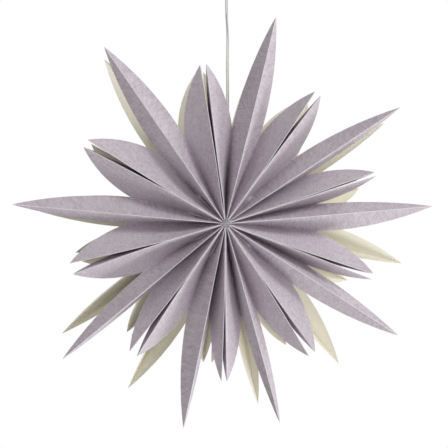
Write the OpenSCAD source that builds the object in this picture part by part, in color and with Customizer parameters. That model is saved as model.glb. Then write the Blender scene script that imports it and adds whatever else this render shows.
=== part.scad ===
// Hanging paper star: nine gusseted paper bags glued side by side and fanned out
// round one axis. Star axis along Y, front towards -Y, hanging thread up +Z.
// The origin is the inside top of the thread loop, where a hook bears.

/* [Star] */
// Reach of the long points from the star's axis, mm
long_r = 149.5; // [142:0.5:160]
// Reach of the short double points from the star's axis, mm
short_r = 113; // [106:1:118]
// Reach of the cut notches between the points, mm
valley_r = 69.5; // [66:0.5:76]
// Width of each bag, which is the star's thickness front to back, mm
bag_w = 66; // [64:1:80]

/* [Pleats] */
// Width of one pleat panel from ridge to valley, mm
pleat_w = 28; // [26:0.5:29]
// Swell of the short points' cut edge beyond a straight line, mm
short_swell = 4; // [0:0.5:10]
// Swell of the long points' cut edge beyond a straight line, mm
long_swell = 3; // [0:0.5:12]

/* [Paper] */
// Thickness of the wall panels, mm
wall_t = 0.25; // [0.2:0.05:0.3]
// Thickness of the pleat panels, mm
pleat_t = 0.12; // [0.1:0.01:0.14]
// Thickness of the glue between neighbouring bags, mm
glue_t = 0.2; // [0.1:0.05:0.3]

/* [Hanging] */
// Height of the hook above the star's axis, mm
hang_h = 176; // [170:1:190]
// Diameter of the thread, mm
thread_d = 1.05; // [0.8:0.05:1.1]

/* [Hidden] */

paper = [0.72, 0.68, 0.73];
white = [0.90, 0.90, 0.89];
glue = [0.88, 0.85, 0.76];

// Angles go clockwise from the seam and are counted counter-clockwise from +X seen from
// the front: the glued wall pairs at their front edges, and how far each leans by its back
front_walls = [98, 54.5, 18, -20, -56.5, -90.5, -125.5, -164, -210];
lean = [0.5, 1.5, 4.5, 4.5, 4.5, 4, 2.5, 1.5, 1.5];
// Angles of the long points, bag by bag
front_ridges = [76, 33.5, 4.5, -33, -74.5, -101.5, -140.5, -185.5, -235.5];
back_ridges = [73.5, 29.5, -14, -50.5, -78, -118.5, -144, -184, -234.5];
// Place of the valleys between wall and long point, left and right of each bag, 0 to 1
front_valleys = [[0.6, 0.55], [0.6, 0.7], [0.55, 0.55], [0.55, 0.6], [0.7, 0.7],
                 [0.7, 0.55], [0.75, 0.65], [0.7, 0.6], [0.65, 0.6]];
back_valleys = [[0.55, 0.7], [0.65, 0.65], [0.5, 0.65], [0.5, 0.7], [0.6, 0.65],
                [0.5, 0.65], [0.7, 0.65], [0.55, 0.6], [0.5, 0.7]];
bags = len(front_walls);
// The star's axis stands a little left of the hook
axis_x = -3.5;
centre = [axis_x, 0, -hang_h];
half_w = bag_w / 2;

core_r = 3.2;            // where the walls start
pleat_r = 8;             // where the pleats start
face_gap = glue_t / 2;   // from a wall pair's middle to its panels
panel_out = face_gap + wall_t;
hinge_gap = 0.03;        // between a pleat and what it meets
// The valleys run in from the nose at a slant, where the bags' bottoms are folded under
gusset_start = 1.5;
gusset_slope = 0.4;
pleat_steps = 3;         // segments across a pleat panel
pleat_rows = 3;          // segments along a pleat panel

// Angle at depth y of wall pair k, counted from 0 at the seam round to the seam again
function wall_angle(k, y) =
    front_walls[k % bags] - 360 * floor(k / bags) - lean[k % bags] * (y + half_w) / bag_w;
function ray(a) = [cos(a), 0, sin(a)];
function across(a) = [-sin(a), 0, cos(a)];
function mix(a, b, t) = a + (b - a) * t;
// Point on wall pair k: radius r, depth y, and out from its middle counter-clockwise
function wall_point(k, r, y, out) =
    let (a = wall_angle(k, y)) centre + r * ray(a) + out * across(a) + [0, y, 0];
// Cut edge of a point, from its ridge (u = 0) to the notch (u = 1)
function reach(tip_r, swell, u) = mix(tip_r, valley_r, u) + 4 * swell * u * (1 - u);
// Cut edge of a wall at depth y
function wall_reach(y) =
    reach(short_r, short_swell, min(1, (half_w - abs(y)) / pleat_w));

// Closed sheet between two grids of points
module sheet(top, base) {
    rows = len(top);
    cols = len(top[0]);
    count = rows * cols;
    facing = cross(top[0][1] - top[0][0], top[1][0] - top[0][0]) * (top[0][0] - base[0][0]);
    face = [for (i = [0 : rows - 2], j = [0 : cols - 2]) let (p = i * cols + j)
        each [[p, p + 1, p + cols + 1], [p, p + cols + 1, p + cols]]];
    rim = [
        for (j = [0 : cols - 2]) j,
        for (i = [0 : rows - 2]) i * cols + cols - 1,
        for (j = [cols - 1 : -1 : 1]) (rows - 1) * cols + j,
        for (i = [rows - 1 : -1 : 1]) i * cols
    ];
    edge = [for (k = [0 : len(rim) - 1]) let (p = rim[k], q = rim[(k + 1) % len(rim)])
        each [[q, p, p + count], [q, p + count, q + count]]];
    back = [for (f = face) [f[0] + count, f[2] + count, f[1] + count]];
    all_faces = concat(face, back, edge);
    polyhedron(
        points = concat([for (row = top) each row], [for (row = base) each row]),
        faces = facing > 0 ? [for (f = all_faces) [f[2], f[1], f[0]]] : all_faces,
        convexity = 6);
}

// Depths and radii that every leaning sheet shares, so that they lie flat on each other
wall_depths = [
    for (s = [0 : 5]) -half_w + pleat_w * s / 5,
    for (s = [5 : -1 : 0]) half_w - pleat_w * s / 5
];
// Where the walls, the bottom flaps and the glue start, and where flap, glue and pads end
wall_radii = [core_r, 8, 16, 42, 54];

// Leaning panel on wall pair k over depths d0 to d1 and radii r0 to r1 of those lists; at
// r1 = last_radius it goes on to the cut edge
module wall_panel(k, d0, d1, r0, r1, near, far) {
    function reach_at(j, y) = j < len(wall_radii) ? wall_radii[j] : wall_reach(y);
    function grid(out) = [for (i = [d0 : d1]) let (y = wall_depths[i])
        [for (j = [r0 : r1]) wall_point(k, reach_at(j, y), y, out)]];
    sheet(grid(far), grid(near));
}

last_depth = len(wall_depths) - 1;
last_radius = len(wall_radii);

// One wall panel of pair k: turn is -1 for the clockwise panel, 1 for the other
module wall(k, turn) {
    wall_panel(k, 0, last_depth, 0, last_radius, turn * face_gap, turn * panel_out);
}

// Half a pleat, from the wall's edge over the valley to the long point's ridge.
// k is the wall pair, turn as for wall(), ridge the long point's angle, share the valley's
// place, end -1 front, 1 back
module pleat_half(k, turn, ridge, share, end) {
    face_y = end * half_w;
    wall_a = wall_angle(k, face_y);
    out = turn * (panel_out + hinge_gap);
    function wall_edge(r) = centre + r * ray(wall_a) + out * across(wall_a) + [0, face_y, 0];
    function ridge_line(r) =
        centre + r * ray(ridge) - turn * hinge_gap * across(ridge) + [0, face_y, 0];
    function valley_line(r) = let (
            s = min(r, valley_r),
            p = wall_edge(s),
            q = mix(p, ridge_line(s), share),
            depth = min(gusset_start + gusset_slope * s, sqrt(pleat_w ^ 2 - norm(q - p) ^ 2))
        ) mix(wall_edge(r), ridge_line(r), share) - [0, end * depth, 0];
    function outer(u) = u <= 1 ? reach(short_r, short_swell, u) : reach(long_r, long_swell, 2 - u);
    function inner_point(u, t) = let (r = mix(pleat_r, outer(u), t))
        u <= 1 ? mix(wall_edge(r), valley_line(r), u)
               : mix(valley_line(r), ridge_line(r), u - 1);
    us = [for (s = [0 : 2 * pleat_steps]) s / pleat_steps];
    ts = [for (s = [0 : pleat_rows]) s / pleat_rows];
    base = [for (t = ts) [for (u = us) inner_point(u, t)]];
    rows = len(base);
    cols = len(base[0]);
    function normal(i, j) = let (
            n = cross(base[min(i + 1, rows - 1)][j] - base[max(i - 1, 0)][j],
                      base[i][min(j + 1, cols - 1)] - base[i][max(j - 1, 0)]),
            m = n / norm(n)
        ) m * sign(m[1] * end);
    top = [for (i = [0 : rows - 1]) [for (j = [0 : cols - 1])
        base[i][j] + pleat_t * normal(i, j)]];
    sheet(top, base);
}

// Bag b has its left wall on pair b - 1 and its right wall on pair b
module left_wall(b) { color(paper) wall(b - 1, -1); }
module right_wall(b) { color(paper) wall(b, 1); }
module left_pleat(b) {
    color(paper) {
        pleat_half(b - 1, -1, front_ridges[b - 1], front_valleys[b - 1][0], -1);
        pleat_half(b - 1, -1, back_ridges[b - 1], back_valleys[b - 1][0], 1);
    }
}
module right_pleat(b) {
    color(paper) {
        pleat_half(b, 1, front_ridges[b - 1], front_valleys[b - 1][1], -1);
        pleat_half(b, 1, back_ridges[b - 1], back_valleys[b - 1][1], 1);
    }
}

// Bottom flap of a bag, folded up and glued inside its left wall
flap_t = 0.22;
flap_depths = [3, 8];
module bag_bottom(b) {
    color(paper)
        wall_panel(b - 1, flap_depths[0], flap_depths[1], 1, 2, -panel_out, -panel_out - flap_t);
}

// Glue between the two bags of wall pair k, near the axis only
module glue_band(k) {
    color(glue) wall_panel(k, 1, last_depth - 1, 1, 3, -face_gap, face_gap);
}

// Peel-apart pads that close the seam between the first and the last bag
pad_gap = 0.02;
pad_depths = [1, 8];
module seam_pads() {
    color(glue) for (d = pad_depths)
        wall_panel(0, d, d + 2, 3, 4, -face_gap, face_gap - pad_gap);
}

// Bottom strip of the first bag, which the thread is tied to: a thin upright slat with a
// narrow foot, measured from the star's axis
strip_t = 0.4;
strip_x = 0.4;
strip_depth = 40;
strip_top = 7.6;
strip_foot = [[0.55, 3.7], [0.3, 3.9]];
strip_bend = 4.3;
knot_r = 1.4;
knot_at = centre + [2.2, 0, 6.5];
module bag_1_bottom() {
    color(paper) translate(centre + [0, strip_depth / 2, 0]) rotate([90, 0, 0])
        linear_extrude(strip_depth)
            polygon(concat(strip_foot, [
                [strip_x, strip_bend], [strip_x, strip_top],
                [strip_x + strip_t, strip_top], [strip_x + strip_t, strip_bend]]));
}

// The knot is drawn tight against the strip, so its near side is flat
module thread_knot() {
    color(white) difference() {
        translate(knot_at) sphere(r = knot_r, $fn = 48);
        translate([centre[0] + strip_x + strip_t - knot_r, 0, knot_at[2]])
            cube(2 * knot_r + [0, 1, 1], center = true);
    }
}

// The thread goes up from the knot, round the hook's place and back down
thread_route = [
    [-1.8, -0.3, -167.9], [-1.5, -0.5, -164], [-1.3, -0.6, -158], [-0.9, -0.6, -146], [-0.5, -0.6, -134],
    [-0.2, -0.6, -122], [0, -0.5, -112], [0.1, -0.3, -102], [0.1, 0, -92], [0.1, 0, -80],
    [0, 0, -68], [0, 0, -58], [0.1, 0, -50], [0.2, 0.1, -42], [0.2, 0.3, -36], [0, 0.6, -31],
    [-0.3, 0.6, -27], [-0.6, 0.4, -23], [-0.7, 0.2, -19], [-0.7, 0, -14], [-1, 0, -10],
    [-1.9, 0, -7], [-2.7, 0, -4.6], [-2.6, 0, -2.2], [-1.6, 0, -0.2], [0, 0, 0.55],
    [1.6, 0, -0.2], [2.6, 0, -2.2], [2.7, 0, -4.6], [1.9, 0, -7], [1, 0, -10], [0.5, 0, -14],
    [0.5, -0.2, -19], [0.5, -0.4, -23], [0.4, -0.6, -27], [0.6, -0.6, -31], [1, -0.3, -36],
    [1.3, -0.1, -42], [1.3, 0, -50], [1.2, 0, -58], [1.2, 0, -68], [1.3, 0, -80], [1.3, 0, -92],
    [1.2, 0.3, -102], [0.8, 0.5, -112], [0.3, 0.6, -122], [-0.1, 0.6, -134], [-0.4, 0.6, -146],
    [-0.8, 0.6, -158], [-1, 0.5, -164], [-1, 0.3, -167.9]
];
thread_sides = 8;
module thread_loop() {
    last = len(thread_route) - 1;
    function along(i) = let (
            d = thread_route[min(i + 1, last)] - thread_route[max(i - 1, 0)]
        ) d / norm(d);
    // The loop lies in a plane facing the front, so -Y is never along the thread
    function ring(i) = let (
            u = cross(along(i), [0, 1, 0]), x = u / norm(u), y = cross(along(i), x)
        ) [for (s = [0 : thread_sides - 1]) let (a = 360 * s / thread_sides)
            thread_route[i] + thread_d / 2 * (cos(a) * x + sin(a) * y)];
    rings = [for (i = [0 : last]) each ring(i)];
    n = thread_sides;
    walls = [for (i = [0 : last - 1], s = [0 : n - 1]) let (
            a = i * n + s, b = i * n + (s + 1) % n
        ) each [[a, b, b + n], [a, b + n, a + n]]];
    start = [for (s = [n - 1 : -1 : 0]) s];
    end = [for (s = [0 : n - 1]) last * n + s];
    color(white) polyhedron(points = rings, faces = concat([start, end], walls), convexity = 4);
}

thread_loop();
thread_knot();
left_wall(1);  // bag_1_left_wall
right_wall(1);  // bag_1_right_wall
left_pleat(1);  // bag_1_left_pleat
right_pleat(1);  // bag_1_right_pleat
bag_1_bottom();
left_wall(2);  // bag_2_left_wall
right_wall(2);  // bag_2_right_wall
left_pleat(2);  // bag_2_left_pleat
right_pleat(2);  // bag_2_right_pleat
bag_bottom(2);  // bag_2_bottom
left_wall(3);  // bag_3_left_wall
right_wall(3);  // bag_3_right_wall
left_pleat(3);  // bag_3_left_pleat
right_pleat(3);  // bag_3_right_pleat
bag_bottom(3);  // bag_3_bottom
left_wall(4);  // bag_4_left_wall
right_wall(4);  // bag_4_right_wall
left_pleat(4);  // bag_4_left_pleat
right_pleat(4);  // bag_4_right_pleat
bag_bottom(4);  // bag_4_bottom
left_wall(5);  // bag_5_left_wall
right_wall(5);  // bag_5_right_wall
left_pleat(5);  // bag_5_left_pleat
right_pleat(5);  // bag_5_right_pleat
bag_bottom(5);  // bag_5_bottom
left_wall(6);  // bag_6_left_wall
right_wall(6);  // bag_6_right_wall
left_pleat(6);  // bag_6_left_pleat
right_pleat(6);  // bag_6_right_pleat
bag_bottom(6);  // bag_6_bottom
left_wall(7);  // bag_7_left_wall
right_wall(7);  // bag_7_right_wall
left_pleat(7);  // bag_7_left_pleat
right_pleat(7);  // bag_7_right_pleat
bag_bottom(7);  // bag_7_bottom
left_wall(8);  // bag_8_left_wall
right_wall(8);  // bag_8_right_wall
left_pleat(8);  // bag_8_left_pleat
right_pleat(8);  // bag_8_right_pleat
bag_bottom(8);  // bag_8_bottom
left_wall(9);  // bag_9_left_wall
right_wall(9);  // bag_9_right_wall
left_pleat(9);  // bag_9_left_pleat
right_pleat(9);  // bag_9_right_pleat
bag_bottom(9);  // bag_9_bottom
glue_band(1);  // glue_band_1
glue_band(2);  // glue_band_2
glue_band(3);  // glue_band_3
glue_band(4);  // glue_band_4
glue_band(5);  // glue_band_5
glue_band(6);  // glue_band_6
glue_band(7);  // glue_band_7
glue_band(8);  // glue_band_8
seam_pads();
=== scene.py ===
"""Hanging paper star: nine gusseted paper bags fanned round one axis, on a cotton thread."""
import math

import bpy
import numpy as np
from mathutils import Matrix, Vector


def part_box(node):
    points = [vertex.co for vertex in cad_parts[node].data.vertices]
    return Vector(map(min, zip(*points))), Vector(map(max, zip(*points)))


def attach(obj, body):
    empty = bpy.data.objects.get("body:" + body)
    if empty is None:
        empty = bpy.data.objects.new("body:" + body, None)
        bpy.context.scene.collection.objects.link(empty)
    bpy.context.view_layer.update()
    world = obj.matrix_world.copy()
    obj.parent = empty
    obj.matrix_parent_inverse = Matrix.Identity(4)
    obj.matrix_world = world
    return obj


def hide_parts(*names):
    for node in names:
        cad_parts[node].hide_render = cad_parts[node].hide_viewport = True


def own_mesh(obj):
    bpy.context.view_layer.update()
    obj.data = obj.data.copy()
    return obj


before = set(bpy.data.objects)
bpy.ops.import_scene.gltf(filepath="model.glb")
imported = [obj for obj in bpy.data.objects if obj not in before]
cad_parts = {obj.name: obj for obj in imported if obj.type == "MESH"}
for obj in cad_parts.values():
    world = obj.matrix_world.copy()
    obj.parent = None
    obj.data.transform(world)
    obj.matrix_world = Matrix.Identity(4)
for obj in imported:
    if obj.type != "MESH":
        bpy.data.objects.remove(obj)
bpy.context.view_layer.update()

# ---------------------------------------------------------------- sizes, in metres and degrees

MM = 0.001
LONG_R = 149.5 * MM          # reach of the long points from the star's axis
SHORT_R = 113 * MM           # reach of the short double points
NOTCH_R = 69.5 * MM          # reach of the cut notches between them
LONG_SWELL = 3.0 * MM        # how far the cut edges swell beyond a straight line
SHORT_SWELL = 4.0 * MM
PLEAT_W = 28 * MM            # width of one pleat panel, ridge to valley
WALL_T = 0.17 * MM
PLEAT_T = 0.15 * MM
FLAP_T = 0.17 * MM
FACE_GAP = 0.06 * MM         # from the middle of a glued pair to each wall
HINGE_GAP = 0.02 * MM        # between a pleat and what it meets
PANEL_OUT = FACE_GAP + WALL_T
CORE_R = 3.2 * MM            # where the walls start

# Bag by bag, clockwise from the seam. Angles are counter-clockwise from +X, seen from the front:
# the glued wall pairs at their front edges, how far each has turned at the back, the long points.
# These lists and the valleys' places are rounded from an outline fit made in a separate program;
# about one value in seven was then changed by eye.
FRONT_WALLS = [98, 54.5, 18, -20, -56.5, -90.5, -125.5, -164, -210]
LEAN = [0.5, 1.5, 4.5, 4.5, 4.5, 4, 2.5, 1.5, 1.5]
FRONT_RIDGES = [76, 33.5, 4.5, -33, -74.5, -101.5, -140.5, -185.5, -235.5]
BACK_RIDGES = [73.5, 29.5, -14, -50.5, -78, -118.5, -144, -184, -234.5]
# Place of each valley between the wall and the long point, left and right of every bag
FRONT_VALLEYS = [[0.6, 0.55], [0.6, 0.7], [0.55, 0.55], [0.55, 0.6], [0.7, 0.7], [0.7, 0.55],
                 [0.75, 0.65], [0.7, 0.6], [0.65, 0.6]]
BACK_VALLEYS = [[0.55, 0.7], [0.65, 0.65], [0.5, 0.65], [0.5, 0.7], [0.6, 0.65], [0.5, 0.65],
                [0.7, 0.65], [0.55, 0.6], [0.5, 0.7]]
BAGS = len(FRONT_WALLS)

# How far the two halves of each double point part at their tips, degrees, pair by pair
FRONT_PARTING = [1.6, 2.2, 1.2, 1.9, 2.5, 1.7, 3.0, 3.8, 2.8]
BACK_PARTING = [2.4, 1.5, 2.9, 2.2, 1.6, 3.1, 2.0, 2.6, 1.8]
GLUE_END = 43 * MM           # the glue between two bags ends here and the halves begin to part
SEAM_GAP = 0.4 * MM          # half of the slit along the seam's unglued edges
SEAM_START, SEAM_EASE = 8 * MM, 8 * MM

AXIS_ASIDE = 0.3 * MM        # the star's axis lies this far beside and below the bottom strip
AXIS_BELOW = 3.7 * MM
strip_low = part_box("bag_1_bottom")[0]
HALF_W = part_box("bag_1_left_wall")[1].y
AXIS = Vector((strip_low.x - AXIS_ASIDE, 0, strip_low.z - AXIS_BELOW))
CENTRE = np.array(AXIS)
NOSE = AXIS + Vector((0, -HALF_W, 0))


def wall_angle(k, y):
    """Angle of wall pair k at depth y; the pairs go clockwise from 0 at the seam round to 9."""
    turns, pair = divmod(k, BAGS)
    return FRONT_WALLS[pair] - 360 * turns - LEAN[pair] * (y + HALF_W) / (2 * HALF_W)


def ridge_angle(bag, end):
    return (FRONT_RIDGES if end < 0 else BACK_RIDGES)[bag - 1]


def valley_share(bag, side, end):
    return (FRONT_VALLEYS if end < 0 else BACK_VALLEYS)[bag - 1][side]


def mix(a, b, t):
    return a + (b - a) * t


def smooth(t):
    t = np.clip(t, 0, 1)
    return t * t * (3 - 2 * t)


# ---------------------------------------------------------------- camera

# The view's numbers come from a least-squares fit of where the star's points stand
VIEW_YAW = math.radians(4.681)
VIEW_PITCH = math.radians(3.517)
VIEW_DISTANCE = 0.680
VIEW_ASIDE = 1.19 * MM       # the nose stands this far right of and above the middle of the view
VIEW_ABOVE = 0.192 * MM
LENS, SENSOR = 77.18, 36     # focal length and width of the camera's sensor, mm
FAR_CLIP = 50


def add_camera():
    cy, sy = math.cos(VIEW_YAW), math.sin(VIEW_YAW)
    cp, sp = math.cos(VIEW_PITCH), math.sin(VIEW_PITCH)
    right = Vector((cy, -sy, 0))
    ahead = Vector((cp * sy, cp * cy, -sp))
    up = Vector((sp * sy, sp * cy, cp))
    data = bpy.data.cameras.new("camera")
    data.lens = LENS
    data.sensor_width = SENSOR
    data.clip_end = FAR_CLIP
    camera = bpy.data.objects.new("camera", data)
    bpy.context.scene.collection.objects.link(camera)
    place = NOSE - (right * VIEW_ASIDE + ahead * VIEW_DISTANCE + up * VIEW_ABOVE)
    turn = Matrix((right, up, -ahead)).transposed().to_4x4()
    camera.matrix_world = Matrix.Translation(place) @ turn
    bpy.context.scene.camera = camera


add_camera()

# ---------------------------------------------------------------- node helpers


def srgb(r, g, b):
    """A colour from its 0 to 255 screen values."""
    def linear(c):
        c = c / 255
        return c / 12.92 if c <= 0.04045 else ((c + 0.055) / 1.055) ** 2.4
    return (linear(r), linear(g), linear(b), 1.0)


class Tree:
    """Adds nodes to a tree and links them: an input given as a socket is linked, else set."""

    def __init__(self, tree):
        self.tree = tree

    def add(self, kind, inputs=None, **settings):
        node = self.tree.nodes.new(kind)
        for key, value in settings.items():
            setattr(node, key, value)
        for key, value in (inputs or {}).items():
            self.put(node.inputs[key], value)
        return node

    def put(self, socket, value):
        if isinstance(value, bpy.types.NodeSocket):
            self.tree.links.new(value, socket)
        else:
            socket.default_value = value

    def math(self, operation, a, b=0.0, clamp=False):
        node = self.add("ShaderNodeMath", {0: a, 1: b}, operation=operation, use_clamp=clamp)
        return node.outputs[0]

    def between(self, value, low, high, to_low=0.0, to_high=1.0, smooth_step=False):
        """Maps value from low..high to to_low..to_high, clamped."""
        kind = "SMOOTHSTEP" if smooth_step else "LINEAR"
        node = self.add("ShaderNodeMapRange", {
            "Value": value, "From Min": low, "From Max": high,
            "To Min": to_low, "To Max": to_high}, interpolation_type=kind)
        return node.outputs["Result"]

    def mixed(self, share, a, b, blend="MIX"):
        node = self.add("ShaderNodeMix", data_type="RGBA", blend_type=blend)
        self.put(node.inputs[0], share)
        self.put(node.inputs[6], a)
        self.put(node.inputs[7], b)
        return node.outputs[2]

    def noise(self, vector, scale, detail=2.0, roughness=0.5):
        return self.add("ShaderNodeTexNoise", {
            "Vector": vector, "Scale": scale, "Detail": detail,
            "Roughness": roughness}).outputs["Fac"]


def new_group(name, inputs, outputs):
    """A shader node group; inputs and outputs are (name, kind, default) and (name, kind)."""
    group = bpy.data.node_groups.new(name, "ShaderNodeTree")
    for label, kind, default in inputs:
        socket = group.interface.new_socket(label, in_out="INPUT", socket_type="NodeSocket" + kind)
        if default is not None:
            socket.default_value = default
    for label, kind in outputs:
        group.interface.new_socket(label, in_out="OUTPUT", socket_type="NodeSocket" + kind)
    t = Tree(group)
    entry = t.add("NodeGroupInput").outputs
    leave = t.add("NodeGroupOutput").inputs
    return group, t, entry, leave


# ---------------------------------------------------------------- effects shared by the finishes


EMBOSS_PITCH = 0.85 * MM
SLUB_LENGTH = 5 * MM
STRIP_SLUB_LENGTH = 6 * MM


def build_linen_emboss():
    """Linen-embossed paper: threads both ways, each with its own slubs."""
    group, t, entry, leave = new_group(
        "linen_emboss",
        [("Sheet", "Vector", None), ("Pitch", "Float", EMBOSS_PITCH),
         ("Slub Length", "Float", 9 * MM)],
        [("Height", "Float"), ("Tone", "Float")])
    cells = t.math("DIVIDE", 1.0, entry["Pitch"])
    along = t.math("DIVIDE", 1.0, entry["Slub Length"])
    wobble = t.noise(entry["Sheet"], 330.0, 2.0, 0.6)
    drift = t.math("MULTIPLY", t.math("SUBTRACT", wobble, 0.5), 1.4)
    parts = t.add("ShaderNodeSeparateXYZ", {0: entry["Sheet"]}).outputs

    def threads(across_axis, along_axis, seed):
        count = t.math("ADD", t.math("MULTIPLY", across_axis, cells), drift)
        run = t.math("MULTIPLY", along_axis, along)
        place = t.add("ShaderNodeCombineXYZ", {0: count, 1: run, 2: seed}).outputs[0]
        slub = t.noise(place, 1.0, 2.0, 0.6)
        wave = t.math("SINE", t.math("MULTIPLY", count, 2 * math.pi))
        return slub, t.math("ADD", t.math("MULTIPLY", wave, 0.5), 0.5)

    warp_slub, warp_wave = threads(parts[0], parts[1], 3.7)
    weft_slub, weft_wave = threads(parts[1], parts[0], 11.3)
    tone = t.math("ADD", warp_slub, weft_slub)
    leave_tone = t.between(tone, 0.75, 1.25)
    waves = t.math("ADD", t.math("MULTIPLY", warp_wave, 0.5), t.math("MULTIPLY", weft_wave, 0.5))
    height = t.math("ADD", t.math("MULTIPLY", waves, 0.3), t.math("MULTIPLY", leave_tone, 0.7))
    t.put(leave["Height"], height)
    t.put(leave["Tone"], leave_tone)
    return group


def build_wear_and_painted_light():
    """Mask of the pale line where coated paper has cracked along a fold or a cut; it also carries
    the painted light at the nose and the painted highlight along the tucks' crests.
    """
    group, t, entry, leave = new_group(
        "wear_and_painted_light",
        [("From Fold", "Float", 1.0), ("From Cut", "Float", 1.0), ("Place", "Vector", None),
         ("Fold Width", "Float", 0.6), ("Cut Width", "Float", 0.4)],
        [("Wear And Light", "Float")])
    ragged = t.between(t.noise(entry["Place"], 320.0, 2.0, 0.6), 0.3, 0.7, 0.65, 1.25)
    patchy = t.between(t.noise(entry["Place"], 60.0, 1.0), 0.3, 0.7, 0.72, 1.0)

    def line(distance, width):
        reach = t.math("MULTIPLY", width, ragged)
        share = t.math("DIVIDE", distance, reach)
        return t.between(share, 0.25, 1.0, 1.0, 0.0, smooth_step=True)

    fold = t.math("MULTIPLY", line(entry["From Fold"], entry["Fold Width"]), patchy)
    cut = t.math("MULTIPLY", line(entry["From Cut"], entry["Cut Width"]), 0.75)
    t.put(leave["Wear And Light"], t.math("MAXIMUM", fold, cut))
    return group


LINEN_EMBOSS = build_linen_emboss()
WEAR_AND_PAINTED_LIGHT = build_wear_and_painted_light()

# ---------------------------------------------------------------- finishes


def new_material(name, roughness, level):
    material = bpy.data.materials.new(name)
    material.use_nodes = True
    material.node_tree.nodes.clear()
    t = Tree(material.node_tree)
    surface = t.add("ShaderNodeBsdfPrincipled")
    surface.inputs["Roughness"].default_value = roughness
    surface.inputs["Specular IOR Level"].default_value = level
    output = t.add("ShaderNodeOutputMaterial")
    t.put(output.inputs["Surface"], surface.outputs[0])
    return material, t, surface


def emboss_of(t, coordinates, pitch, slub):
    node = t.add("ShaderNodeGroup", node_tree=LINEN_EMBOSS)
    t.put(node.inputs["Sheet"], coordinates)
    t.put(node.inputs["Pitch"], pitch)
    t.put(node.inputs["Slub Length"], slub)
    return node.outputs["Height"], node.outputs["Tone"]


def wear_and_painted_light_of(t, place, fold_width, cut_width):
    node = t.add("ShaderNodeGroup", node_tree=WEAR_AND_PAINTED_LIGHT)
    for label, attribute in (("From Fold", "from_fold"), ("From Cut", "from_cut")):
        distance = t.add("ShaderNodeAttribute", attribute_name=attribute)
        t.put(node.inputs[label], distance.outputs["Fac"])
    t.put(node.inputs["Place"], place)
    t.put(node.inputs["Fold Width"], fold_width)
    t.put(node.inputs["Cut Width"], cut_width)
    return node.outputs["Wear And Light"]


def lavender_linen():
    """Outside of the bags: lavender linen-embossed paper, pale along folds and cuts, with painted
    light at the nose and painted highlights on the tucks' crests.
    """
    material, t, surface = new_material("lavender_linen_paper", 0.78, 0.22)
    sheet = t.add("ShaderNodeUVMap", uv_map="sheet").outputs[0]
    place = t.add("ShaderNodeTexCoord").outputs["Object"]
    height, tone = emboss_of(t, sheet, EMBOSS_PITCH, SLUB_LENGTH)
    cloud = t.between(t.noise(place, 34.0, 3.0), 0.3, 0.7)
    blot = t.between(t.noise(sheet, 240.0, 2.0, 0.6), 0.3, 0.7)
    ink = t.mixed(tone, srgb(188, 176, 187), srgb(227, 216, 224))
    ink = t.mixed(t.math("MULTIPLY", cloud, 0.3), ink, srgb(213, 206, 210))
    ink = t.mixed(t.math("MULTIPLY", blot, 0.35), ink, srgb(228, 220, 225))
    # pale mask: cracked coating along folds and cuts, plus painted light over the shaded nose and
    # painted highlights on the tucks' crests
    pale_wear_and_light = wear_and_painted_light_of(t, place, 0.3, 0.2)
    colour = t.mixed(pale_wear_and_light, ink, srgb(254, 251, 254))
    t.put(surface.inputs["Base Color"], colour)
    t.put(surface.inputs["Roughness"], t.between(tone, 0.0, 1.0, 0.84, 0.7))
    bump = t.add("ShaderNodeBump", {"Strength": 0.55, "Distance": 0.07 * MM, "Height": height})
    t.put(surface.inputs["Normal"], bump.outputs[0])
    return material


def cream_lining():
    """Inside of the bags: uncoated cream paper, where the emboss shows faintly through."""
    material, t, surface = new_material("cream_lining_paper", 0.86, 0.15)
    sheet = t.add("ShaderNodeUVMap", uv_map="sheet").outputs[0]
    place = t.add("ShaderNodeTexCoord").outputs["Object"]
    height, tone = emboss_of(t, sheet, EMBOSS_PITCH, SLUB_LENGTH)
    cloud = t.between(t.noise(place, 26.0, 3.0), 0.3, 0.7)
    fibre = t.between(t.noise(place, 900.0, 3.0, 0.65), 0.3, 0.7)
    colour = t.mixed(cloud, srgb(245, 240, 223), srgb(250, 246, 233))
    colour = t.mixed(t.math("MULTIPLY", fibre, 0.25), colour, srgb(236, 229, 209))
    colour = t.mixed(t.math("MULTIPLY", tone, 0.18), colour, srgb(252, 250, 241))
    t.put(surface.inputs["Base Color"], colour)
    t.put(surface.inputs["Roughness"], t.between(fibre, 0.0, 1.0, 0.82, 0.92))
    relief = t.math("ADD", t.math("MULTIPLY", height, 0.4), t.math("MULTIPLY", fibre, 0.35))
    bump = t.add("ShaderNodeBump", {"Strength": 0.2, "Distance": 0.03 * MM, "Height": relief})
    t.put(surface.inputs["Normal"], bump.outputs[0])
    return material


def cut_edge():
    """The paper's own thickness at a cut: pale, fibrous."""
    material, t, surface = new_material("paper_cut_edge", 0.9, 0.15)
    place = t.add("ShaderNodeTexCoord").outputs["Object"]
    fibre = t.between(t.noise(place, 1500.0, 2.0, 0.6), 0.3, 0.7)
    t.put(surface.inputs["Base Color"], t.mixed(fibre, srgb(226, 220, 214), srgb(246, 243, 236)))
    t.put(surface.inputs["Roughness"], t.between(fibre, 0.0, 1.0, 0.85, 0.95))
    bump = t.add("ShaderNodeBump", {"Strength": 0.5, "Distance": 0.03 * MM, "Height": fibre})
    t.put(surface.inputs["Normal"], bump.outputs[0])
    return material


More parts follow.
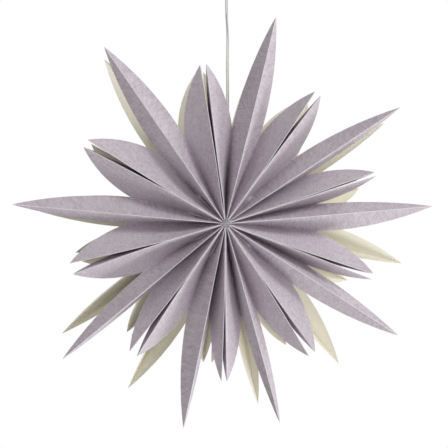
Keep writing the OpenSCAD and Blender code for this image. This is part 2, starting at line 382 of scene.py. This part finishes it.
def bottom_strip_paper():
    """The first bag's folded bottom: a darker cream paper than the linings."""
    material, t, surface = new_material("bottom_strip_paper", 0.86, 0.15)
    place = t.add("ShaderNodeTexCoord").outputs["Object"]
    height, tone = emboss_of(t, place, EMBOSS_PITCH, STRIP_SLUB_LENGTH)
    fibre = t.between(t.noise(place, 1100.0, 3.0, 0.65), 0.3, 0.7)
    colour = t.mixed(tone, srgb(214, 208, 190), srgb(238, 233, 216))
    colour = t.mixed(t.math("MULTIPLY", fibre, 0.3), colour, srgb(204, 194, 170))
    t.put(surface.inputs["Base Color"], colour)
    t.put(surface.inputs["Roughness"], t.between(fibre, 0.0, 1.0, 0.8, 0.92))
    bump = t.add("ShaderNodeBump", {"Strength": 0.4, "Distance": 0.05 * MM, "Height": height})
    t.put(surface.inputs["Normal"], bump.outputs[0])
    return material


def dried_glue():
    """Paper glue dried to an amber-cream film, uneven and a little glossy."""
    material, t, surface = new_material("dried_paper_glue", 0.45, 0.4)
    place = t.add("ShaderNodeTexCoord").outputs["Object"]
    flow = t.between(t.noise(place, 160.0, 4.0, 0.6), 0.3, 0.7)
    grit = t.between(t.noise(place, 1400.0, 2.0), 0.35, 0.65)
    colour = t.mixed(flow, srgb(214, 202, 168), srgb(238, 231, 208))
    colour = t.mixed(t.math("MULTIPLY", grit, 0.2), colour, srgb(190, 176, 140))
    t.put(surface.inputs["Base Color"], colour)
    t.put(surface.inputs["Roughness"], t.between(flow, 0.0, 1.0, 0.34, 0.62))
    bump = t.add("ShaderNodeBump", {"Strength": 0.6, "Distance": 0.05 * MM, "Height": flow})
    t.put(surface.inputs["Normal"], bump.outputs[0])
    return material


def cotton_thread():
    """Three-ply white cotton: fine fibres that follow the twist, with painted shade in the grooves
    between the plies.
    """
    material, t, surface = new_material("white_cotton_thread", 0.8, 0.2)
    ply = t.add("ShaderNodeUVMap", uv_map="sheet").outputs[0]
    parts = t.add("ShaderNodeSeparateXYZ", {0: ply}).outputs
    turned = t.add("ShaderNodeCombineXYZ", {
        0: t.math("MULTIPLY", parts[0], 26.0), 1: t.math("MULTIPLY", parts[1], 900.0)}).outputs[0]
    fibre = t.between(t.noise(turned, 1.0, 3.0, 0.6), 0.3, 0.7)
    groove_shade = t.add("ShaderNodeAttribute", attribute_name="groove_shade").outputs["Fac"]
    colour = t.mixed(fibre, srgb(232, 232, 232), srgb(248, 248, 247))
    # painted shade: neutral grey darkening in the grooves between the plies
    colour = t.mixed(t.math("MULTIPLY", groove_shade, 0.35), colour, srgb(196, 195, 196))
    t.put(surface.inputs["Base Color"], colour)
    t.put(surface.inputs["Roughness"], t.between(fibre, 0.0, 1.0, 0.75, 0.9))
    bump = t.add("ShaderNodeBump", {"Strength": 0.5, "Distance": 0.04 * MM, "Height": fibre})
    t.put(surface.inputs["Normal"], bump.outputs[0])
    return material


LAVENDER = lavender_linen()
CREAM = cream_lining()
CUT = cut_edge()
STRIP = bottom_strip_paper()
GLUE = dried_glue()
COTTON = cotton_thread()

# ---------------------------------------------------------------- mesh building


FACE_SLOT, LINING_SLOT, CUT_SLOT = 0, 1, 2
OUTER_RIM = 2                # the third rim of a sheet is its outermost row, a bare cut
SHARP_ANGLE = math.radians(32)


class Sheets:
    """Thin closed sheets gathered into one mesh, each given as two grids of points."""

    def __init__(self):
        self.points, self.faces, self.slots, self.uvs = [], [], [], []
        self.fold, self.cut = [], []
        self.count = 0

    def add(self, face, lining, sheet_uv, from_fold, from_cut):
        """face and lining are rows x columns x 3; rows run outwards from the core."""
        rows, cols = face.shape[:2]
        size = rows * cols
        step_u = face[:, 1:] - face[:, :-1]
        step_v = face[1:] - face[:-1]
        normal = np.cross(step_u[:-1], step_v[:, :-1])
        facing = ((face - lining)[:-1, :-1] * normal).sum()
        index = np.arange(size).reshape(rows, cols)
        p, q = index[:-1, :-1], index[:-1, 1:]
        r, s = index[1:, 1:], index[1:, :-1]
        outer = np.stack([p, q, r, s], -1).reshape(-1, 4)
        if facing < 0:
            outer = outer[:, ::-1]
        inner = outer[:, ::-1] + size
        sides = [index[0, :], index[:, -1], index[-1, ::-1], index[::-1, 0]]
        rims, rim_slots = [], []
        for number, side in enumerate(sides):
            a, b = side[:-1], side[1:]
            quads = np.stack([b, a, a + size, b + size], -1)
            rims.append(quads if facing > 0 else quads[:, ::-1])
            rim_slots += [CUT_SLOT if number == OUTER_RIM else FACE_SLOT] * len(a)
        faces = np.concatenate([outer, inner] + rims) + self.count
        self.faces.append(faces)
        self.slots += [FACE_SLOT] * len(outer) + [LINING_SLOT] * len(inner) + rim_slots
        for grid in (face, lining):
            self.points.append(grid.reshape(-1, 3))
            self.uvs.append(sheet_uv.reshape(-1, 2))
            self.fold.append(from_fold.ravel())
            self.cut.append(from_cut.ravel())
        self.count += 2 * size

    def build(self, name, materials):
        mesh = bpy.data.meshes.new(name)
        points = np.concatenate(self.points)
        faces = np.concatenate(self.faces)
        mesh.from_pydata(points.tolist(), [], faces.tolist())
        for material in materials:
            mesh.materials.append(material)
        mesh.polygons.foreach_set("material_index", np.array(self.slots, np.int32))
        layer = mesh.uv_layers.new(name="sheet")
        loops = np.zeros(len(mesh.loops), np.int32)
        mesh.loops.foreach_get("vertex_index", loops)
        layer.data.foreach_set("uv", np.concatenate(self.uvs)[loops].astype(np.float32).ravel())
        for label, values in (("from_fold", self.fold), ("from_cut", self.cut)):
            attribute = mesh.attributes.new(label, "FLOAT", "POINT")
            attribute.data.foreach_set("value", (np.concatenate(values) / MM).astype(np.float32))
        mesh.shade_smooth()
        mesh.set_sharp_from_angle(angle=SHARP_ANGLE)
        piece = bpy.data.objects.new(name, mesh)
        bpy.context.scene.collection.objects.link(piece)
        return piece


def ray(angle):
    a = np.radians(angle)
    return np.stack([np.cos(a), np.zeros_like(a), np.sin(a)], -1)


def across(angle):
    a = np.radians(angle)
    return np.stack([-np.sin(a), np.zeros_like(a), np.cos(a)], -1)


def polar(angle, r, out, y):
    """Point at radius r on the line at that angle, out sideways counter-clockwise, at depth y."""
    angle, r, out, y = np.broadcast_arrays(*(np.asarray(x, float) for x in (angle, r, out, y)))
    point = r[..., None] * ray(angle) + out[..., None] * across(angle)
    point[..., 1] += y
    return CENTRE + point


def cut_reach(tip_r, swell, u):
    """Cut edge of a point from its ridge (u = 0) to the notch (u = 1)."""
    return mix(tip_r, NOTCH_R, u) + 4 * swell * u * (1 - u)


SEED = 439
chance = np.random.default_rng(SEED)
# Small handmade differences: how far tips lean inward or sideways and how much panels belly
TIP_NOD = chance.uniform(-1.0, 1.0, (BAGS + 1, 2)) * MM
TIP_SWAY = chance.uniform(-0.8, 0.8, (BAGS + 1, 2)) * MM
HALF_NOD = chance.uniform(-0.9, 0.9, (BAGS, 2, 2)) * MM
BELLY = chance.uniform(0.2, 0.8, (BAGS + 1, 2, 2, 2)) * MM


def end_index(end):
    return 0 if end < 0 else 1


def parting(k, r, y):
    """Half of the gap that opens between the two halves of a double point."""
    pair = k % BAGS
    front = 0.5 * math.radians(FRONT_PARTING[pair]) * SHORT_R
    back = 0.5 * math.radians(BACK_PARTING[pair]) * SHORT_R
    along = np.clip((r - GLUE_END) / (SHORT_R - GLUE_END), 0, 1.2) ** 1.25
    edge = np.clip((np.abs(y) - (HALF_W - PLEAT_W)) / PLEAT_W, 0, 1)
    gap = np.where(y < 0, front, back) * along * edge
    if pair == 0:
        gap = gap + SEAM_GAP * smooth((r - SEAM_START) / SEAM_EASE) * edge ** 3
    return gap


def half_nod(k, turn, r, y, share):
    """Inward bend of half a double point's tip; share is 1 on its ridge."""
    pair, side = k % BAGS, (0 if turn < 0 else 1)
    along = np.clip((r - NOTCH_R) / (SHORT_R - NOTCH_R), 0, 1.2) ** 2
    nod = np.where(y < 0, abs(HALF_NOD[pair, side, 0]), -abs(HALF_NOD[pair, side, 1]))
    return nod * along * share


# ---------------------------------------------------------------- walls

WALL_ROWS = 44
EDGE_STEPS = 20
# A cut edge slants across the rows, so it is nearer than the distance along a row by these shares
WALL_CUT_SHARE = 0.55
PLEAT_CUT_SHARE = 0.5


def wall_sheet(k, turn):
    """One wall panel of pair k: turn is -1 for the clockwise panel, 1 for the other."""
    near_edge = 1 - np.linspace(0, 1, EDGE_STEPS + 1) ** 1.15
    outer_half = HALF_W - PLEAT_W * near_edge[::-1]
    middle = np.linspace(-(HALF_W - PLEAT_W), HALF_W - PLEAT_W, 5)[1:-1]
    ys = np.concatenate([-outer_half[::-1], middle, outer_half])
    ys = np.unique(np.round(ys, 9))
    from_ridge = np.clip((HALF_W - np.abs(ys)) / PLEAT_W, 0, 1)
    reach = cut_reach(SHORT_R, SHORT_SWELL, from_ridge)
    t = np.linspace(0, 1, WALL_ROWS)[:, None]
    r = mix(CORE_R, reach[None, :], t)
    y = np.broadcast_to(ys[None, :], r.shape)
    angle = wall_angle(k, y)
    open_by = parting(k, r, y)
    nod = half_nod(k, turn, r, y, 1 - from_ridge[None, :])

    def grid(out):
        points = polar(angle, r, turn * (out + open_by), y)
        points[..., 1] += nod
        return points

    face = grid(FACE_GAP)
    lining = grid(PANEL_OUT)
    uv = np.stack([HALF_W - np.abs(y) + 0.4 * (k + 1), r], -1)
    from_fold = HALF_W - np.abs(y)
    from_cut = (reach[None, :] - r) * WALL_CUT_SHARE
    return face, lining, uv, from_fold, from_cut


# ---------------------------------------------------------------- pleats

PLEAT_ROWS = 52
TUCKS = {(2, -1, -1), (7, 1, -1), (4, 1, -1), (8, 1, -1), (9, -1, -1), (6, 1, -1),
         (1, 1, 1), (3, -1, 1), (5, 1, 1), (7, -1, 1), (9, 1, 1)}
# The valleys run in from the nose at a slant, where the bags' bottoms are folded under
GUSSET_START, GUSSET_SLOPE = 1.5 * MM, 0.85
DEEP_GUSSETS = {(1, -1, -1), (9, -1, -1), (5, 1, -1), (8, -1, -1), (2, -1, 1), (6, 1, 1)}
DEEP_SLOPE = 1.3
TUCK_START, TUCK_END = 8 * MM, 30 * MM
TUCK_SHARE = 0.22            # share of each panel that the tuck takes up
NOSE_PAINTED_LIGHT = 1.8 * MM         # this close to the axis the pleats are painted pale all over: painted light over the shade where the folds meet
NOSE_TAPER = 0.1             # how the gap at a wall's edge narrows towards the axis
FOLD_START = 0.15 * MM       # the wall's edge and the ridge start this far from the axis
VALLEY_START = 0.6 * MM      # and the valley this far
LEAST_DEPTH = 0.3            # least depth of a valley, as a share of the panel's width
ROUND_BAND, ROUND_BY = 0.08, 0.03    # how far from the valley's fold it is rounded, and how much
BELLY_START, BELLY_EASE = 20 * MM, 70 * MM
FULL_THICK_R = 3 * MM        # the paper thins from here towards the axis


def panel_columns():
    """Places across both panels, 0 at the wall's edge, 1 in the valley, 2 on the ridge."""
    one = np.array([0, 0.008, 0.02, 0.05, 0.12, 0.22, 0.35, 0.48, 0.6, 0.7, 0.76, 0.8, 0.85,
                    0.91, 0.95, 0.98])
    return np.concatenate([one, [1.0], 2 - one[::-1]])


def pleat_sheet(bag, k, turn, end):
    """Half a pleat: from the wall's edge over the valley to the long point's ridge."""
    face_y = end * HALF_W
    side = 0 if turn < 0 else 1
    wall_a = wall_angle(k, face_y)
    valley_at = valley_share(bag, side, end)
    ridge_a = ridge_angle(bag, end)
    columns = panel_columns()
    spread = np.where(columns <= 1, columns, 2 - columns)
    reach = np.where(columns <= 1, cut_reach(SHORT_R, SHORT_SWELL, spread),
                     cut_reach(LONG_R, LONG_SWELL, spread))
    start = mix(FOLD_START, VALLEY_START, spread)
    t = np.linspace(0, 1, PLEAT_ROWS)[:, None]
    r = mix(start[None, :], reach[None, :], t)
    u = np.broadcast_to(columns[None, :], r.shape)

    def fold_point(u_at):
        aside = np.minimum(PANEL_OUT + HINGE_GAP, NOSE_TAPER * r)
        out = turn * (aside + parting(k, r, np.full_like(r, face_y)))
        wall_edge = polar(wall_a, r, out, face_y)
        wall_edge[..., 1] += half_nod(k, turn, r, np.full_like(r, face_y), 1.0)
        ridge = polar(ridge_a, r, -turn * np.minimum(HINGE_GAP, NOSE_TAPER * r), face_y)
        tip = np.clip((r - NOTCH_R) / (LONG_R - NOTCH_R), 0, 1)
        sway = tip ** 2 * TIP_SWAY[bag, end_index(end)]
        ridge += sway[..., None] * across(np.full_like(r, ridge_a))
        ridge[..., 1] -= end * tip ** 2 * abs(TIP_NOD[bag, end_index(end)])
        held = np.minimum(r, NOTCH_R)
        near = polar(wall_a, held, turn * (PANEL_OUT + HINGE_GAP), face_y)
        far = polar(ridge_a, held, -turn * HINGE_GAP, face_y)
        half = valley_at * np.linalg.norm(far - near, axis=-1)
        full = np.sqrt(np.maximum(PLEAT_W ** 2 - half ** 2, (LEAST_DEPTH * PLEAT_W) ** 2))
        slope = DEEP_SLOPE if (bag, turn, end) in DEEP_GUSSETS else GUSSET_SLOPE
        share = (GUSSET_START + slope * r) / full
        depth = full * share / (1 + share ** 4) ** 0.25
        valley = mix(wall_edge, ridge, valley_at)
        valley[..., 1] -= end * depth
        first = np.clip(u_at, 0, 1)[..., None]
        second = np.clip(u_at - 1, 0, 1)[..., None]
        return np.where(u_at[..., None] <= 1, mix(wall_edge, valley, first),
                        mix(valley, ridge, second))

    round_off = np.where(np.abs(u - 1) < ROUND_BAND, ROUND_BY, 0.0)
    base = sum(0.25 * fold_point(u + d * round_off) for d in (-1, -0.5, 0.5, 1))
    panel = np.where(u <= 1, 0, 1)
    belly = BELLY[bag, side, end_index(end), panel]
    spread_2d = np.broadcast_to(spread[None, :], r.shape)
    bulge = belly * 4 * spread_2d * (1 - spread_2d) * smooth((r - BELLY_START) / BELLY_EASE)
    base[..., 1] += end * bulge
    turn_u = len(columns) // 2
    width = np.linalg.norm(base[:, turn_u] - base[:, 0], axis=-1)[:, None]
    fold_far = spread_2d * width
    if (bag, turn, end) in TUCKS:
        along = smooth((r - TUCK_START) / (5 * MM)) * smooth((TUCK_END - r) / (9 * MM))
        crest = np.clip(1 - np.abs(u - 1) / TUCK_SHARE, 0, 1)
        base[..., 1] += end * 2 * TUCK_SHARE * width * along * crest
        # the tuck's crest takes the pale fold line: partly a crease in the paper, partly a painted
        # highlight along the tuck's edge
        on_crest = np.abs(u - 1) * width / np.maximum(along, 0.05) ** 0.5
        fold_far = np.minimum(fold_far, np.where(along > 0.08, on_crest, 1.0))
    # painted light: near the axis the pale fold colour covers the whole pleat, lifting the shade
    # where the folds meet
    fold_far = np.minimum(fold_far, 6 * np.maximum(r - NOSE_PAINTED_LIGHT, 0))
    thick = PLEAT_T * np.clip(r / FULL_THICK_R, 0.2, 1.0)
    du = np.gradient(base, axis=1)
    dr = np.gradient(base, axis=0)
    normal = np.cross(dr, du)
    normal /= np.maximum(np.linalg.norm(normal, axis=-1, keepdims=True), 1e-12)
    normal *= np.sign(normal[..., 1] * end)[..., None]
    face = base + thick[..., None] * normal
    uv = np.stack([u * width + 0.4 * bag + 0.17 * side + 5 * end_index(end), r], -1)
    from_cut = (reach[None, :] - r) * PLEAT_CUT_SHARE
    return face, base, uv, fold_far, from_cut


# ---------------------------------------------------------------- bags

PAPERS = (LAVENDER, CREAM, CUT)
NO_PALE_MASK = 20 * MM            # farther from any fold or cut than the pale mask reaches, both the fold wear and the painted light


def flatten(piece):
    """Gives the piece its own copy of its mesh."""
    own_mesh(piece)


def add_wall(bag, side_name, k, turn, body):
    sheets = Sheets()
    sheets.add(*wall_sheet(k, turn))
    piece = sheets.build(f"bag_{bag}_{side_name}_wall_paper", PAPERS)
    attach(piece, body)
    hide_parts(f"bag_{bag}_{side_name}_wall")
    flatten(piece)


def add_pleat(bag, side_name, k, turn, body):
    sheets = Sheets()
    for end in (-1, 1):
        sheets.add(*pleat_sheet(bag, k, turn, end))
    piece = sheets.build(f"bag_{bag}_{side_name}_pleat_paper", PAPERS)
    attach(piece, body)
    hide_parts(f"bag_{bag}_{side_name}_pleat")
    flatten(piece)


FLAP_IN, FLAP_OUT = 8 * MM, 16 * MM
FLAP_DEPTH = 16.2 * MM
FLAP_CLIP = 3 * MM
FLAP_COLUMNS, FLAP_ROWS = 25, 9


def add_flap(bag, k, body):
    """Folded-up bottom of a bag, glued inside its left wall, with clipped corners."""
    ys = np.linspace(-FLAP_DEPTH, FLAP_DEPTH, FLAP_COLUMNS)
    clip = np.clip((np.abs(ys) / FLAP_DEPTH - 0.8) / 0.2, 0, 1)
    t = np.linspace(0, 1, FLAP_ROWS)[:, None]
    r = mix(FLAP_IN, FLAP_OUT - FLAP_CLIP * clip[None, :], t)
    y = np.broadcast_to(ys[None, :], r.shape)
    angle = wall_angle(k, y)
    lift = 0.04 * MM * np.sin(y / FLAP_DEPTH * 7 + bag) * (r - FLAP_IN) / (FLAP_OUT - FLAP_IN)
    lining = polar(angle, r, -(PANEL_OUT + 0.02 * MM), y)
    face = polar(angle, r, -(PANEL_OUT + FLAP_T + 0.04 * MM) - lift, y)
    uv = np.stack([y + 0.3 * bag, r], -1)
    from_cut = FLAP_OUT - FLAP_CLIP * clip[None, :] - r
    sheets = Sheets()
    sheets.add(face, lining, uv, np.full_like(r, NO_PALE_MASK), from_cut)
    piece = sheets.build(f"bag_{bag}_bottom_flap", PAPERS)
    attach(piece, body)
    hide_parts(f"bag_{bag}_bottom")
    flatten(piece)


FILM_OUT = FACE_GAP - 0.005 * MM
FILM_COLUMNS, FILM_ROWS = 29, 13
GLUE_DEPTH = 27 * MM
GLUE_IN, GLUE_OUT, GLUE_RAGGED = 8.2 * MM, 42 * MM, 1.6 * MM
PAD_DEPTHS = ((-27.2 * MM, -16.4 * MM), (16.4 * MM, 27.2 * MM))
PAD_IN, PAD_OUT, PAD_RAGGED = 42.3 * MM, 53.7 * MM, 0.5 * MM
PAD_THINNER = 0.02 * MM


def glue_outline(k, y_low, y_high, r_low, r_high, ragged):
    """A film of glue with an uneven outline, between the two walls of pair k."""
    rng = np.random.default_rng(SEED + 10 * k + int(r_low / MM))
    ys = np.linspace(y_low, y_high, FILM_COLUMNS)
    wave = sum(rng.uniform(0.2, 1)
               * np.sin(np.linspace(0, n * math.pi, FILM_COLUMNS) + rng.uniform(0, 6))
               for n in (3, 7, 13)) / 2
    t = np.linspace(0, 1, FILM_ROWS)[:, None]
    low = r_low + ragged * (1 + wave[None, :]) * 0.5
    high = r_high - ragged * (1 + wave[None, ::-1]) * 0.5
    r = mix(low, high, t)
    y = np.broadcast_to(ys[None, :], r.shape)
    angle = wall_angle(k, y)
    uv = np.stack([y + 0.3 * (k + 1), r], -1)
    far = np.full_like(r, NO_PALE_MASK)
    return angle, r, y, uv, far


def add_glue_band(k, body):
    angle, r, y, uv, far = glue_outline(k, -GLUE_DEPTH, GLUE_DEPTH, GLUE_IN, GLUE_OUT,
                                        GLUE_RAGGED)
    sheets = Sheets()
    sheets.add(polar(angle, r, FILM_OUT, y), polar(angle, r, -FILM_OUT, y), uv, far, far)
    piece = sheets.build(f"glue_band_{k}_film", (GLUE, GLUE, GLUE))
    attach(piece, body)
    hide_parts(f"glue_band_{k}")
    flatten(piece)


def add_seam_pads(body):
    sheets = Sheets()
    for y_low, y_high in PAD_DEPTHS:
        angle, r, y, uv, far = glue_outline(0, y_low, y_high, PAD_IN, PAD_OUT, PAD_RAGGED)
        face = polar(angle, r, FILM_OUT - PAD_THINNER, y)
        sheets.add(face, polar(angle, r, -FILM_OUT, y), uv, far, far)
    piece = sheets.build("seam_pads_film", (GLUE, GLUE, GLUE))
    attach(piece, body)
    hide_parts("seam_pads")
    flatten(piece)


# ---------------------------------------------------------------- thread

THREAD_D = 1.05 * MM
# Up from the knot, round the hook's place and back down, in millimetres
THREAD_ROUTE = [
    [-1.8, -0.3, -167.9], [-1.5, -0.5, -164], [-1.3, -0.6, -158], [-0.9, -0.6, -146],
    [-0.5, -0.6, -134], [-0.2, -0.6, -122], [0, -0.5, -112], [0.1, -0.3, -102], [0.1, 0, -92],
    [0.1, 0, -80], [0, 0, -68], [0, 0, -58], [0.1, 0, -50], [0.2, 0.1, -42], [0.2, 0.3, -36],
    [0, 0.6, -31], [-0.3, 0.6, -27], [-0.6, 0.4, -23], [-0.7, 0.2, -19], [-0.7, 0, -14],
    [-1, 0, -10], [-1.9, 0, -7], [-2.7, 0, -4.6], [-2.6, 0, -2.2], [-1.6, 0, -0.2],
    [0, 0, 0.55], [1.6, 0, -0.2], [2.6, 0, -2.2], [2.7, 0, -4.6], [1.9, 0, -7], [1, 0, -10],
    [0.5, 0, -14], [0.5, -0.2, -19], [0.5, -0.4, -23], [0.4, -0.6, -27], [0.6, -0.6, -31],
    [1, -0.3, -36], [1.3, -0.1, -42], [1.3, 0, -50], [1.2, 0, -58], [1.2, 0, -68],
    [1.3, 0, -80], [1.3, 0, -92], [1.2, 0.3, -102], [0.8, 0.5, -112], [0.3, 0.6, -122],
    [-0.1, 0.6, -134], [-0.4, 0.6, -146], [-0.8, 0.6, -158], [-1, 0.5, -164], [-1, 0.3, -167.9],
]
PLY_TURN = 3.4 * MM          # one turn of the thread's three plies
THREAD_RING = 18
THREAD_STEP = 0.45 * MM
KNOT_THREAD_D, KNOT_PLY_TURN, KNOT_RING = 0.62 * MM, 2.2 * MM, 12
KNOT_FILL, KNOT_FILL_DEEP = 0.72, 0.75    # how much of the knot's box its loop fills


def smooth_path(points, step):
    """Catmull-Rom curve through the points, resampled at an even step."""
    p = np.array(points, float)
    p = np.concatenate([[2 * p[0] - p[1]], p, [2 * p[-1] - p[-2]]])
    t = np.linspace(0, 1, 24, endpoint=False)[:, None]
    runs = []
    for i in range(1, len(p) - 2):
        a, b, c, d = p[i - 1], p[i], p[i + 1], p[i + 2]
        runs.append(0.5 * (2 * b + (c - a) * t + (2 * a - 5 * b + 4 * c - d) * t ** 2
                           + (3 * b - a - 3 * c + d) * t ** 3))
    dense = np.concatenate(runs + [p[-2:-1]])
    length = np.concatenate([[0], np.cumsum(np.linalg.norm(np.diff(dense, axis=0), axis=1))])
    even = np.linspace(0, length[-1], int(round(length[-1] / step)) + 1)
    return np.stack([np.interp(even, length, dense[:, n]) for n in range(3)], -1), length[-1]


def twisted_tube(name, path, diameter, turn_length, ring, upright):
    """A three-ply twisted strand along path, as a closed mesh."""
    along = np.gradient(path, axis=0)
    along /= np.linalg.norm(along, axis=1, keepdims=True)
    side = np.cross(along, upright)
    side /= np.linalg.norm(side, axis=1, keepdims=True)
    rise = np.cross(along, side)
    run = np.concatenate([[0], np.cumsum(np.linalg.norm(np.diff(path, axis=0), axis=1))])
    angle = np.linspace(0, 2 * math.pi, ring, endpoint=False)[None, :]
    twist = (2 * math.pi * run / turn_length)[:, None]
    lobe = np.abs(np.cos(1.5 * (angle - twist)))
    radius = diameter / 2 * (0.9 + 0.1 * lobe)
    points = (path[:, None, :] + (radius * np.cos(angle))[..., None] * side[:, None, :]
              + (radius * np.sin(angle))[..., None] * rise[:, None, :])
    rows = len(path)
    index = np.arange(rows * ring).reshape(rows, ring)
    right = np.roll(index, -1, axis=1)
    quads = np.stack([index[:-1], right[:-1], right[1:], index[1:]], -1).reshape(-1, 4)
    ends = [path[0] - along[0] * diameter * 0.15, path[-1] + along[-1] * diameter * 0.15]
    first, last = rows * ring, rows * ring + 1
    caps = [[first, int(right[0, j]), int(index[0, j])] for j in range(ring)]
    caps += [[last, int(index[-1, j]), int(right[-1, j])] for j in range(ring)]
    mesh = bpy.data.meshes.new(name)
    mesh.from_pydata(points.reshape(-1, 3).tolist() + [list(e) for e in ends], [],
                     quads.tolist() + caps)
    mesh.materials.append(COTTON)
    uv_point = np.stack([(angle - twist) / (2 * math.pi),
                         np.broadcast_to(run[:, None], radius.shape)], -1)
    uv_point = np.concatenate([uv_point.reshape(-1, 2), [[0, 0], [0, run[-1]]]])
    loops = np.zeros(len(mesh.loops), np.int32)
    mesh.loops.foreach_get("vertex_index", loops)
    layer = mesh.uv_layers.new(name="sheet")
    layer.data.foreach_set("uv", uv_point[loops].astype(np.float32).ravel())
    # depth of the groove between plies, the mask for the painted shade
    groove_shade = np.concatenate([(1 - lobe).ravel() ** 2, [1, 1]])
    attribute = mesh.attributes.new("groove_shade", "FLOAT", "POINT")
    attribute.data.foreach_set("value", groove_shade.astype(np.float32))
    mesh.shade_smooth()
    if sum(p.normal.dot(p.center - Vector(path[0])) for p in mesh.polygons[:ring]) < 0:
        mesh.flip_normals()
    piece = bpy.data.objects.new(name, mesh)
    bpy.context.scene.collection.objects.link(piece)
    return piece


def add_knot():
    """Overhand knot that keeps the thread under the first bag's bottom strip."""
    low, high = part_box("thread_knot")
    middle = np.array((low + high) / 2)
    size = (high - low) / 2
    t = np.linspace(0, 2 * math.pi, 121)
    loop = np.stack([np.sin(t) + 2 * np.sin(2 * t), -np.sin(3 * t) * 1.4,
                     np.cos(t) - 2 * np.cos(2 * t)], -1)
    loop *= np.array([size.x * KNOT_FILL, size.y * KNOT_FILL_DEEP, size.z * KNOT_FILL]) / 3
    piece = twisted_tube("thread_knot_tied", middle + loop, KNOT_THREAD_D, KNOT_PLY_TURN,
                         KNOT_RING, np.array([0.15, 1.0, 0.1]))
    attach(piece, "root")
    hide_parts("thread_knot")
    return piece


def add_thread(knot):
    path, length = smooth_path(np.array(THREAD_ROUTE) * MM, THREAD_STEP)
    piece = twisted_tube("thread_loop_cotton", path, THREAD_D, PLY_TURN, THREAD_RING,
                         np.array([0, 1.0, 0]))
    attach(piece, "root")
    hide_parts("thread_loop")


add_thread(add_knot())

# ---------------------------------------------------------------- put the star together

for bag in range(1, BAGS + 1):
    left, right = bag - 1, bag
    add_wall(bag, "left", left, -1, f"leaf_{bag}")
    add_wall(bag, "right", right, 1, f"leaf_{bag + 1}")
    add_pleat(bag, "left", left, -1, f"leaf_{bag}")
    add_pleat(bag, "right", right, 1, f"leaf_{bag + 1}")
    if bag > 1:
        add_flap(bag, left, f"leaf_{bag}")
for k in range(1, BAGS):
    add_glue_band(k, f"leaf_{k + 1}")
add_seam_pads("leaf_1")

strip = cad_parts["bag_1_bottom"]
strip.data.materials.clear()
strip.data.materials.append(STRIP)

# ---------------------------------------------------------------- stage and light

# The lights' powers started from a least-squares fit of each light's share, rounded; some were then
# changed, and the low light was added.
AMBIENT = 0.285
WHITE = (1.0, 1.0, 1.0)
FLOOR_HALF = 1.5
FLOOR_BELOW = 1.1


def aim(light, target):
    light.rotation_euler = (Vector(target) - light.location).to_track_quat("-Z", "Y").to_euler()


def add_area(name, place, size, power, colour):
    data = bpy.data.lights.new(name, "AREA")
    data.size = size
    data.energy = power
    data.color = colour
    light = bpy.data.objects.new(name, data)
    bpy.context.scene.collection.objects.link(light)
    light.location = AXIS + Vector(place)
    aim(light, AXIS)


def add_floor():
    material = bpy.data.materials.new("pale_floor")
    material.use_nodes = True
    t = Tree(material.node_tree)
    surface = material.node_tree.nodes["Principled BSDF"]
    surface.inputs["Roughness"].default_value = 0.9
    place = t.add("ShaderNodeTexCoord").outputs["Object"]
    patch = t.between(t.noise(place, 2.0, 3.0), 0.3, 0.7)
    t.put(surface.inputs["Base Color"], t.mixed(patch, srgb(240, 240, 239), srgb(247, 247, 246)))
    mesh = bpy.data.meshes.new("floor")
    corners = [(x * FLOOR_HALF, y * FLOOR_HALF, 0) for x, y in ((-1, -1), (1, -1), (1, 1), (-1, 1))]
    mesh.from_pydata(corners, [], [(0, 1, 2, 3)])
    mesh.materials.append(material)
    floor = bpy.data.objects.new("floor", mesh)
    bpy.context.scene.collection.objects.link(floor)
    floor.location = (AXIS.x, 0, AXIS.z - FLOOR_BELOW)


def light_world():
    """White to look at, softer as light, so that the paper keeps its shading."""
    world = bpy.data.worlds.new("studio")
    bpy.context.scene.world = world
    world.use_nodes = True
    t = Tree(world.node_tree)
    back = world.node_tree.nodes["Background"]
    seen = t.add("ShaderNodeLightPath").outputs["Is Camera Ray"]
    t.put(back.inputs["Color"], (1.0, 1.0, 1.0, 1.0))
    t.put(back.inputs["Strength"], t.between(seen, 0.0, 1.0, AMBIENT, 1.0))


light_world()
add_floor()
add_area("key_light", (0.92, -1.09, 0.92), 0.5, 8.8, WHITE)
add_area("front_light", (0.58, -1.6, 0.0), 0.5, 3.8, WHITE)
add_area("side_light", (1.67, -0.3, 0.0), 0.5, 4.8, WHITE)
add_area("left_light", (-0.92, -1.09, 0.92), 0.5, 1.8, WHITE)
add_area("back_light", (0.74, 0.85, 1.27), 0.5, 5.0, WHITE)
add_area("low_light", (0.47, -0.17, -0.81), 0.4, 4.0, WHITE)
bpy.context.scene.view_settings.view_transform = "Standard"
